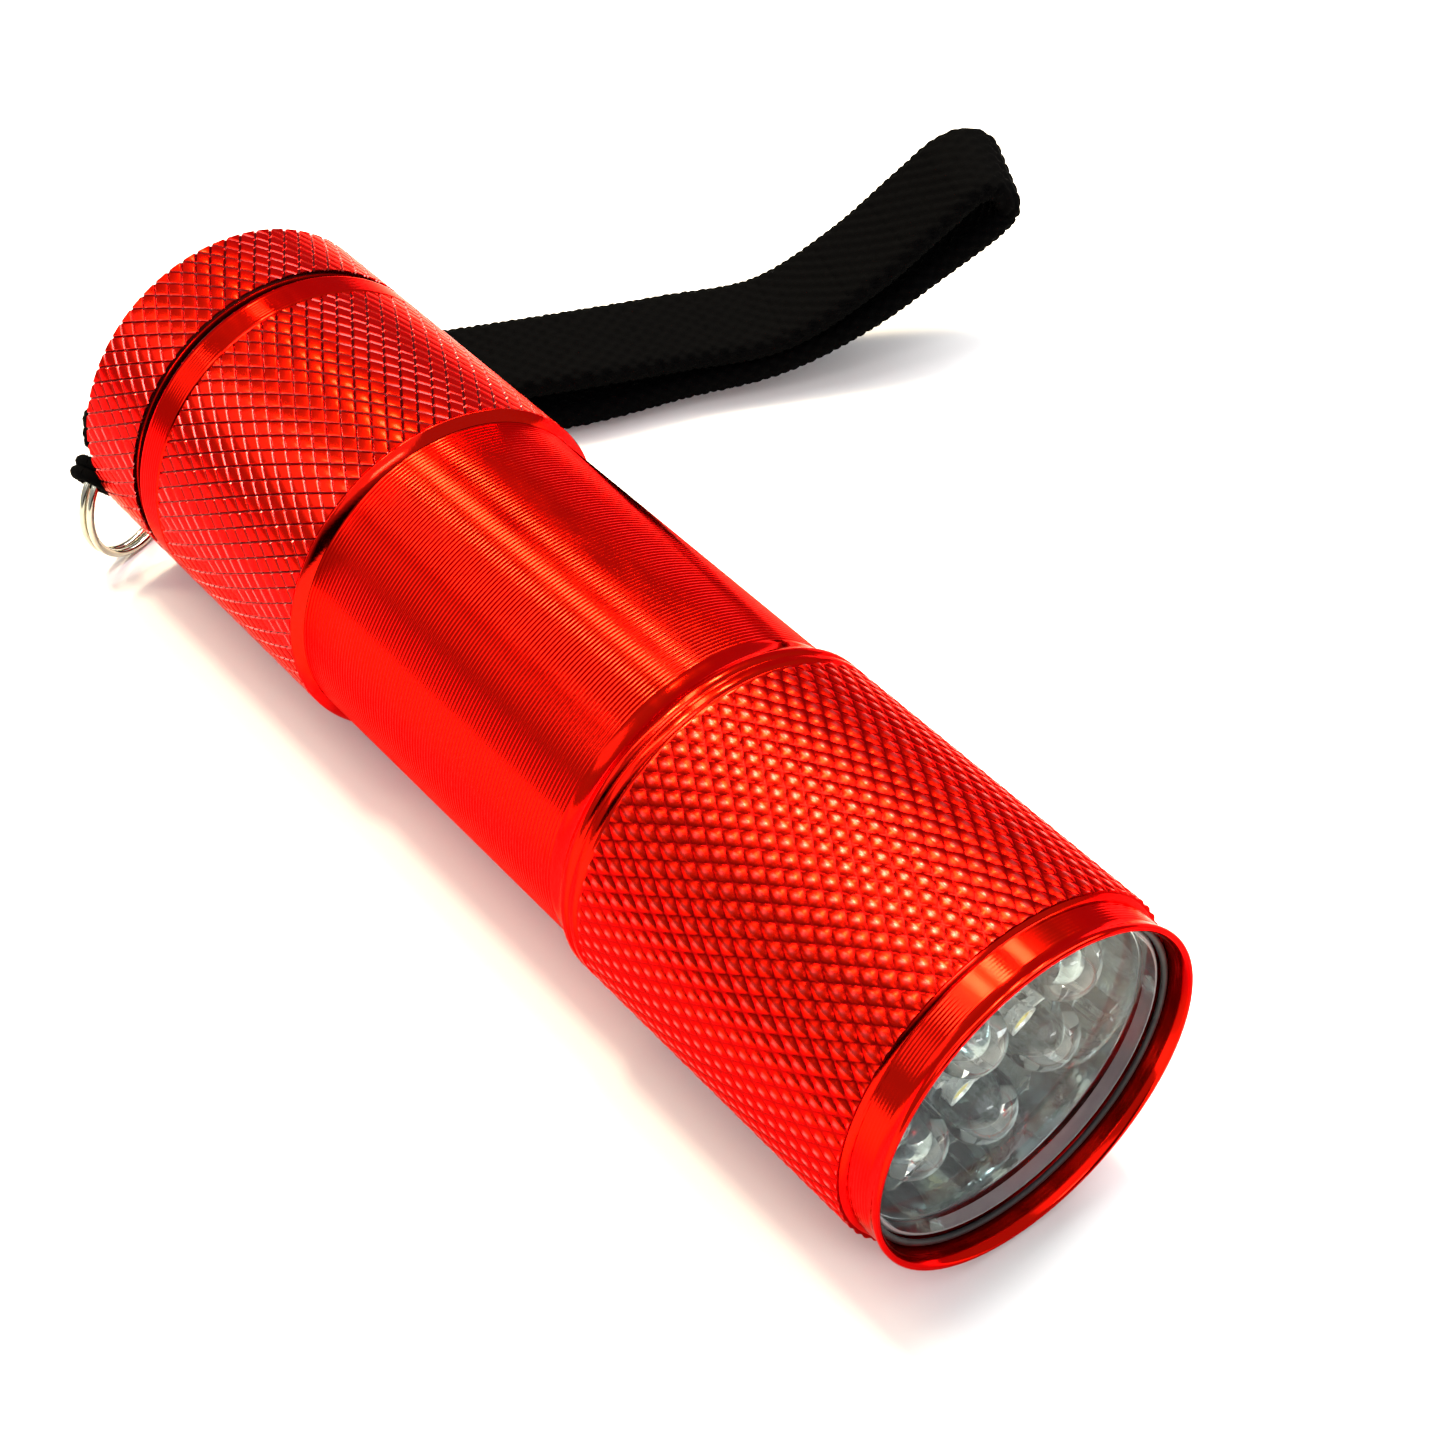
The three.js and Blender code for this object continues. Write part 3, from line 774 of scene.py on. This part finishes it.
def ring_tie():
    """Two turns of thin cord round the ring's wire."""
    out = np.array([0, math.cos(TIE_ANGLE), math.sin(TIE_ANGLE)]) @ RING_FRAME
    axis = np.array([0, -math.sin(TIE_ANGLE), math.cos(TIE_ANGLE)]) @ RING_FRAME
    turn = np.linspace(0, 2 * math.pi, TIE_POINTS + 1)[:, None]
    circle = TIE_RADIUS * (np.cos(turn) * out + np.sin(turn) * RING_FRAME[0])
    path = RING_CENTRE + RING_RADIUS * out + circle
    section = round_section(TIE_CORD, TIE_CORD, 20)
    step = 2 * math.pi * TIE_RADIUS / TIE_POINTS
    return merged([
        braided(path + side * TIE_SPREAD * axis, section, axis, step, cell=0.43) for side in (-1, 1)])


tie = cord_piece("ring_tie_cord", ring_tie(), "ring_tie", body="split_ring")

# ------------------------------------------------------------------ barrel
UNDER_REAR, UNDER_FRONT = 12.72, 12.78    # radii of the turned barrel under its knurled sleeves
SLEEVE_INNER = 12.7
BORE, HEAD_BORE = 11.35, 11.85

rear_flange = [
    [7.6, 12.2], [7.6, 12.66], *arc(7.9, 12.7, 0.3, 170, 95), *turned_lines(8.1, 9.9, BODY_RADIUS),
    [10.06, 12.98], [10.14, 12.9], [10.2, 12.75],
]
under_rear = [[10.35, UNDER_REAR], [27.88, UNDER_REAR], [28.1, 12.5], [28.4, 12.27], [28.62, 12.27]]
middle = turned_lines(28.7, 57.3, WAIST_RADIUS, depth=0.033, pitch=0.31)
shoulder = [
    [57.6, 12.31], [58.0, 12.35], [58.4, 12.42], [58.75, 12.56], [59.0, 12.78], [59.15, 12.92],
    [59.3, 12.985], [59.5, BODY_RADIUS], [59.66, 12.97], [59.76, 12.88], [59.82, 12.8], [59.92, 12.77],
    [60.02, 12.79], [60.1, 12.9], [60.2, 12.98], [60.38, BODY_RADIUS], [60.56, 12.98], [60.66, 12.9],
    [60.74, 12.8], [60.84, 12.77], [60.95, 12.77],
]
under_front = [[61.15, UNDER_FRONT], [85.8, UNDER_FRONT]]
bezel = [
    [86.0, 12.62], *turned_lines(86.1, 88.0, 12.44, 12.42, depth=0.015, pitch=0.24),
    [88.2, 12.45], [88.4, 12.52], [88.55, 12.6], [88.7, 12.65], [88.85, 12.66],
    [88.95, 12.62], [LENGTH, 12.55], [LENGTH, 12.36], [88.94, 12.27], [88.85, 12.2],
]
bore = [
    [88.6, 12.1], *turned_lines(87.1, 88.5, 12.05, depth=0.006)[::-1], [87.0, 12.05], [87.0, HEAD_BORE],
    [72.6, HEAD_BORE], [72.6, BORE], [14.2, BORE], [14.2, 11.95], [7.75, 11.95],
]
# The step down to the waist steepens as it falls.
step_curve = [[28.09 + 0.55 * t, 12.97 - 0.45 * t - 0.21 * t * t] for t in np.linspace(0, 1, 9)]
step_rim = [
    [27.91, 12.74], [27.91, 12.93], [27.97, 12.985], [28.05, 12.99], *step_curve,
    [28.6, 12.28], [28.4, 12.3], [28.12, 12.55],
]
barrel_profile = [*rear_flange, *under_rear, *middle, *shoulder, *under_front, *bezel, *bore]
rear_knurl = knurled_sleeve(10.3, 27.9, FLAT_CUTS, FLAT_DEPTH, flat_topped, SLEEVE_INNER)
front_knurl = knurled_sleeve(61.1, 85.85, DOMED_CUTS, DOMED_DEPTH, domed, SLEEVE_INNER)


def barrel_piece(name, mesh, made, replaces=(), sharp=30):
    piece(name, *mesh, made, "torch_body", "anodised_aluminium", replaces, sharp)


barrel_piece("barrel_turned", lathe(barrel_profile, 96), RED, ["barrel"])
barrel_piece("barrel_step_rim", lathe(step_rim), RED_POLISHED, sharp=40)
barrel_piece("barrel_rear_knurl", rear_knurl, RED_FINE_KNURL)
barrel_piece("barrel_front_knurl", front_knurl, RED_DOTTED_KNURL, sharp=40)

# ------------------------------------------------------------------ tail cap
THREAD_PITCH, THREAD_DEPTH = 1.0, 0.3
SPIGOT = 11.4          # radius of the spigot that goes into the barrel
CAP_BORE, MODULE_SEAT = 9.8, 11.2

cap_outside = [[0.0, 12.62], [0.05, 12.72], [0.12, 12.76], [6.55, 12.72], [6.85, 12.6], [6.85, SPIGOT]]
cap_spigot = [
    [7.6, SPIGOT], [7.75, 11.65], [8.0, 11.65], [8.25, SPIGOT], [13.1, SPIGOT], [13.3, 11.6],
    [13.6, 11.6], [13.8, SPIGOT],
]
cap_inside = [
    [13.8, CAP_BORE], [5.2, CAP_BORE], [5.2, MODULE_SEAT], [2.0, MODULE_SEAT], [2.0, 6.3], [0.3, 6.3],
    [0.08, 6.45], [0.0, 6.6],
]
cap_face = [[0.0, radius] for radius in np.linspace(7.0, 12.2, 14)]


def threaded(x0, x1, radius, inner, rows_per_turn=8, segments=96):
    """A sleeve with a helical thread on its outside, fading out at both ends."""
    count = round((x1 - x0) / THREAD_PITCH * rows_per_turn)
    angle = round_steps(segments)
    rows = []
    for x in np.linspace(x0, x1, count + 1):
        turn = (x / THREAD_PITCH - angle / (2 * math.pi)) % 1
        fade = min(1, (x - x0) * 2, (x1 - x) * 2)
        height = np.clip(1.4 * (1 - np.abs(2 * turn - 1)) - 0.2, 0, 1) * fade
        rows.append((x, radius - THREAD_DEPTH * (1 - height)))
    rows += [(x1, np.full(segments, inner)), (x0, np.full(segments, inner))]
    verts = [np.stack([np.full(segments, x), r * np.cos(angle), r * np.sin(angle)], 1) for x, r in rows]
    return np.vstack(verts), tube_faces(len(rows), segments, wrap=True)


cap_profile = [*cap_outside, *cap_spigot, *cap_inside, *cap_face]
cap_body = cut_holes(*lathe(cap_profile), CORD_HOLES, -1, 3, 1.0)
cap_thread = threaded(8.2, 13.2, 11.72, MODULE_SEAT)
piece("tail_cap_turned", *merged([cap_body, cap_thread]), RED, "tail_cap", "anodised_aluminium", ["tail_cap"])
cap_knurl = knurled_sleeve(0.06, 6.75, FLAT_CUTS, FLAT_DEPTH, flat_topped, 12.6, phase=0.5)
piece("tail_cap_knurl", *cap_knurl, RED_FINE_KNURL, "tail_cap", "anodised_aluminium")

# ------------------------------------------------------------------ seals
piece("tail_seal_ring_moulded", *lathe(bead(7.225, 12.02, 0.26, 0.42), 96),
      RUBBER, "tail_cap", "black_rubber", ["tail_seal_ring"], sharp=80)
piece("lens_seal_moulded", *lathe(bead(87.36, 11.77, 0.2, 0.23)),
      RUBBER, "torch_body", "black_rubber", ["lens_seal"], sharp=80)

# ------------------------------------------------------------------ lens
LENS_BACK, LENS_FRONT = 85.6, 87.15
WINDOW_RADIUS, EDGE_INNER = 11.23, 11.25    # the window and its ground edge don't touch

window = [[LENS_BACK, 0], [LENS_BACK, WINDOW_RADIUS], [LENS_FRONT, WINDOW_RADIUS], [LENS_FRONT, 0]]
ground_edge = [
    [LENS_BACK, EDGE_INNER], [LENS_BACK, 11.5], [85.75, 11.65], [86.7, 11.65], [86.92, 11.6],
    [87.08, 11.46], [87.13, 11.38], [87.13, EDGE_INNER],
]
piece("lens_window", *lathe(window), LENS, "torch_body", "clear_lens", ["lens"])
piece("lens_ground_edge", *lathe(ground_edge), FROSTED, "torch_body", "clear_lens")

# ------------------------------------------------------------------ LEDs
LED_BASE, LED_RADIUS, LED_HEIGHT = 76.0, 2.5, 8.6
LED_COUNT_ROUND, LED_CIRCLE, LED_FIRST = 8, 7.75, 11.5    # the ring of LEDs, and its first one's angle
LED_TURNS = [20, 65, 110, 150, 200, 250, 290, 330, 10]    # each one is soldered in at its own angle
CUP_CENTRE = (-0.15, 0)
CUP_PROFILE = [[5.0, 0], [4.2, 0.55], [4.2, 0.7], [5.15, 0.72], [5.15, 0.6], [4.75, 0.34], [4.75, 0]]
DIE_PROFILE = [[4.74, 0], [4.74, 0.36], [4.95, 0.5], [5.02, 0.45], [5.08, 0.25], [5.1, 0]]

ring_angles = [LED_FIRST + i * 360 / LED_COUNT_ROUND for i in range(LED_COUNT_ROUND)]
led_places = [(0.0, 0.0), *(polar(LED_CIRCLE, angle) for angle in ring_angles)]
led_dome = [
    [LED_HEIGHT - LED_RADIUS + LED_RADIUS * math.sin(a), LED_RADIUS * math.cos(a)]
    for a in np.linspace(0, math.pi / 2, 10)[1:-1]
]
led_profile = [
    [0, 0], [0, 2.75], [0.1, 2.85], [0.9, 2.85], [1.0, 2.75], [1.0, 2.56], [1.15, 2.5],
    [LED_HEIGHT - LED_RADIUS, LED_RADIUS], *led_dome, [LED_HEIGHT, 0],
]


def box(x0, x1, y0, y1, half_width, bevel=0.05):
    """A box centred on z = 0 with its long edges bevelled."""
    z0, z1 = -half_width, half_width
    outline = [(y0 + bevel, z0), (y1 - bevel, z0), (y1, z0 + bevel), (y1, z1 - bevel),
               (y1 - bevel, z1), (y0 + bevel, z1), (y0, z1 - bevel), (y0, z0 + bevel)]
    n = len(outline)
    verts = [(x, y, z) for x in (x0, x1) for y, z in outline]
    return verts, [*tube_faces(2, n), tuple(range(n))[::-1], tuple(range(n, 2 * n))]


def lead_frame():
    """The two lead posts inside an LED: an anvil with the die's cup, and the slimmer post beside it."""
    anvil = box(0.2, 4.3, -0.85, 0.35, 0.22)
    wing = box(2.2, 4.0, -1.45, -0.85, 0.22)
    post = box(0.2, 4.9, 0.75, 1.35, 0.2)
    hook = box(4.2, 4.9, 0.45, 0.8, 0.2)
    return merged([anvil, wing, post, hook, lathe(CUP_PROFILE, 24, centre=CUP_CENTRE)])


def led(number, place, turn):
    """A clear resin body with its lead posts and die, turned about its own axis."""
    at = [LED_BASE, *place]
    c, s = polar(1, turn)
    spin = np.array([[1, 0, 0], [0, c, s], [0, -s, c]])
    resin_verts, resin_faces = lathe(led_profile, 48)
    lead_verts, lead_faces = lead_frame()
    die_verts, die_faces = lathe(DIE_PROFILE, 16, centre=CUP_CENTRE)
    piece(f"led_{number}_resin", resin_verts + at, resin_faces,
          RESIN, "torch_body", "led_resin", [f"led_{number}"], sharp=40)
    piece(f"led_{number}_leads", lead_verts @ spin + at, lead_faces, LEAD, "torch_body")
    piece(f"led_{number}_die", die_verts @ spin + at, die_faces, PHOSPHOR, "torch_body", sharp=50)


for number, (place, turn) in enumerate(zip(led_places, LED_TURNS), 1):
    led(number, place, turn)

# ------------------------------------------------------------------ reflector
LED_HOLE = 2.77
REFLECTOR = [[77.3, 0], [77.3, 11.5], [85.3, 11.5], [85.3, 11.15], [78.1, 10.9], [78.1, 0]]
COLLAR = [[77.9, LED_HOLE], [78.45, LED_HOLE], [78.45, 3.0], [77.9, 3.25]]

reflector_cup = cut_holes(*lathe(rounded(REFLECTOR, 0.15)), led_places, 76.5, 79.0, LED_HOLE)
collars = [lathe(rounded(COLLAR, 0.06), 48, centre=place) for place in led_places]
piece("reflector_plated", *merged([reflector_cup, *collars]),
      CHROME, "torch_body", "chrome_reflector", ["reflector"])


# ------------------------------------------------------------------ button
BOOT_PROFILE = [   # its face with three fine rings, its side, the clamped rim, its inside
    [0.4, 0], [0.4, 0.9], [0.46, 1.0], [0.52, 1.1], [0.46, 1.2], [0.45, 2.1], [0.52, 2.2], [0.58, 2.3],
    [0.52, 2.45], [0.58, 3.3], [0.66, 3.4], [0.72, 3.5], [0.66, 3.62], [0.75, 4.3],
    [0.95, 4.9], [1.2, 5.4], [1.6, 5.7], [2.0, 5.85], [2.25, 5.9],
    [2.25, 7.4], [3.05, 7.4], [3.05, 5.0], [2.0, 4.7], [1.3, 3.4], [1.3, 0],
]


def stretches(obj):
    """Moves the object's placement into its mesh points."""
    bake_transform(obj)


boot = piece("switch_boot_moulded", *lathe(BOOT_PROFILE, 96), RUBBER, None, "black_rubber", ["switch_boot"],
             sharp=45)
stretches(boot)


# ------------------------------------------------------------------ springs
EVEN_RISE = 0.25    # share of a spring's rise that is even, so that its end turns aren't quite closed


def coil_spring(name, body, ends, radii, turns, wire, centre=(0, 0)):
    """A wound spring whose last turn at each end lies nearly flat. ends are its outer faces."""
    t = np.linspace(0, 1, round(turns * 40))
    angle = 2 * math.pi * turns * t
    middle_rise = np.clip((t - 0.5 / turns) / (1 - 1 / turns), 0, 1)
    rise = EVEN_RISE * t + (1 - EVEN_RISE) * middle_rise * middle_rise * (3 - 2 * middle_rise)
    x = ends[0] + wire + (ends[1] - ends[0] - 2 * wire) * rise
    radius = radii[0] + (radii[1] - radii[0]) * t
    path = np.stack([x, radius * np.cos(angle) + centre[0], radius * np.sin(angle) + centre[1]], 1)
    wound = swept_round(path, wire, 12, (1, 0, 0))
    return piece(f"{name}_wound", *wound, SPRING, body, "plated_spring", [name], sharp=60)


front_spring = coil_spring("front_contact_spring", None, (68.2, 72.6), (3.2, 4.6), 4, 0.35)
stretches(front_spring)
switch_spring = coil_spring("switch_spring", None, (9.9, 13.0), (1.6, 1.6), 4, 0.2)
stretches(switch_spring)
coil_spring("tail_contact_spring", "tail_cap", (14.2, 15.9), (3.6, 2.4), 2, 0.3)

# ------------------------------------------------------------------ cells
HOLDER_ZONE = (18.3, 65.5)    # between the holder's end discs
CELL_CIRCLE, CELL_RADIUS, CELL_BODY, CELL_NUB = 6.06, 5.1, 43.5, 1.0
STRIP_GAP, STRIP = 0.3, 0.4
CELL_SLEEVE = [
    [0.25, 4.3], [0.12, 4.5], [0.1, 4.75], [0.3, 5.0], [0.6, CELL_RADIUS], [CELL_BODY - 0.6, CELL_RADIUS],
    [CELL_BODY - 0.3, 5.0], [CELL_BODY - 0.12, 4.75], [CELL_BODY - 0.14, 4.5], [CELL_BODY - 0.3, 4.3],
]
CELL_CAN = [
    [0.0, 0], [0.0, 3.6], [0.12, 3.8], [0.2, 4.4], [CELL_BODY - 0.25, 4.4], [CELL_BODY - 0.2, 3.4],
    [CELL_BODY - 0.35, 2.9], [CELL_BODY - 0.3, 2.1], [CELL_BODY + 0.7, 1.9], [CELL_BODY + 0.95, 1.7],
    [CELL_BODY + CELL_NUB, 1.4], [CELL_BODY + CELL_NUB, 0],
]
CELL_CONTACT = [
    [0, 0], [0, 2.9], [0.05, 3.0], [STRIP - 0.05, 3.0], [STRIP, 2.9], [STRIP, 1.6],
    [STRIP - 0.12, 1.3], [STRIP - 0.12, 0],
]


def cell(number, angle, reversed_cell):
    """One AAA cell, its spring and its strip, in its channel of the holder."""
    place = polar(CELL_CIRCLE, angle)
    zone = HOLDER_ZONE[1] - HOLDER_ZONE[0]
    spring_end = zone - 3 * STRIP_GAP - STRIP - CELL_BODY - CELL_NUB
    base = spring_end + STRIP_GAP

    def at(x):
        """Where on the torch's axis is x from the channel's spring end."""
        return HOLDER_ZONE[0] + (zone - x if reversed_cell else x)

    def turned(profile, segments):
        return lathe([[at(x), r] for x, r in profile], segments, centre=place)

    sleeve = turned([[base + x, r] for x, r in CELL_SLEEVE], 64)
    can = turned([[base + x, r] for x, r in CELL_CAN], 64)
    contact = turned([[zone - STRIP_GAP - x, r] for x, r in CELL_CONTACT], 40)
    ends, radii = sorted((at(STRIP_GAP), at(spring_end))), (3.6, 2.0)
    piece(f"battery_{number}_sleeve", *sleeve, JACKET, "battery_pack", "cell_jacket", [f"battery_{number}"],
          sharp=40)
    piece(f"battery_{number}_can", *can, CAN, "battery_pack", sharp=40)
    coil_spring(f"cell_spring_{number}", "battery_pack", ends, radii[::-1] if reversed_cell else radii,
                2, 0.25, place)
    piece(f"cell_contact_{number}_stamped", *contact, BRASS, "battery_pack", "brass_contact",
          [f"cell_contact_{number}"])


cell(1, 90, False)
cell(2, 210, False)
cell(3, 330, True)

# ------------------------------------------------------------------ holder contacts and switch
REAR_CONTACT = [[16.2, 0], [16.2, 1.4], [16.32, 1.8], [16.2, 2.4], [16.2, 4.0], [16.6, 4.0], [16.6, 0]]
FRONT_CONTACT = [
    [67.2, 0], [67.2, 4.1], [67.3, 4.2], [67.42, 4.2], [67.5, 4.1], [67.52, 2.6], [67.62, 2.3],
    [67.8, 2.1], [67.92, 1.8], [67.95, 1.4], [67.95, 0],
]
PLUNGER = [
    [1.6, 0], [1.6, 1.6], [2.0, 2.0], [8.4, 2.0], [8.4, 1.7], [8.8, 1.7], [8.8, 2.0], [9.6, 2.0], [9.6, 0],
]
HOUSING = [
    [5.0, 2.4], [5.0, 8.6], [5.5, 8.6], [5.5, 9.5], [7.0, 9.5], [7.0, 9.3], [7.4, 9.3], [7.4, 9.5],
    [12.3, 9.5], [12.3, 4.0], [13.9, 4.0], [13.9, 0], [13.3, 0], [13.3, 2.4],
]

piece("holder_rear_contact_stamped", *lathe(rounded(REAR_CONTACT, 0.08), 48),
      BRASS, "battery_pack", "brass_contact", ["holder_rear_contact"])
piece("holder_front_contact_stamped", *lathe(FRONT_CONTACT, 48),
      BRASS, "battery_pack", "brass_contact", ["holder_front_contact"])
piece("switch_plunger_moulded", *lathe(rounded(PLUNGER, 0.1), 48),
      WHITE_PLASTIC, "switch_button", "white_plastic", ["switch_plunger"])
piece("switch_housing_moulded", *lathe(rounded(HOUSING, 0.12), 96),
      PLASTIC, "tail_cap", "black_plastic", ["switch_housing"])

# ------------------------------------------------------------------ CAD nodes that stay, in better materials
NODE_MATERIALS = {
    "led_board": BOARD, "module_base": PLASTIC, "battery_holder": PLASTIC, "switch_retaining_ring": BRASS,
}
for name, made in NODE_MATERIALS.items():
    node = frame["nodes"][name]
    node.data.materials.clear()
    node.data.materials.append(made)


# ------------------------------------------------------------------ floor
def lay_floor():
    """A plain square, 4 m across, under the torch."""
    bm = bmesh.new()
    bmesh.ops.create_grid(bm, x_segments=1, y_segments=1, size=2.0)
    mesh = bpy.data.meshes.new("floor")
    bm.to_mesh(mesh)
    bm.free()
    floor = bpy.data.objects.new("floor", mesh)
    scene.collection.objects.link(floor)
    floor.data.materials.append(FLOOR)


lay_floor()
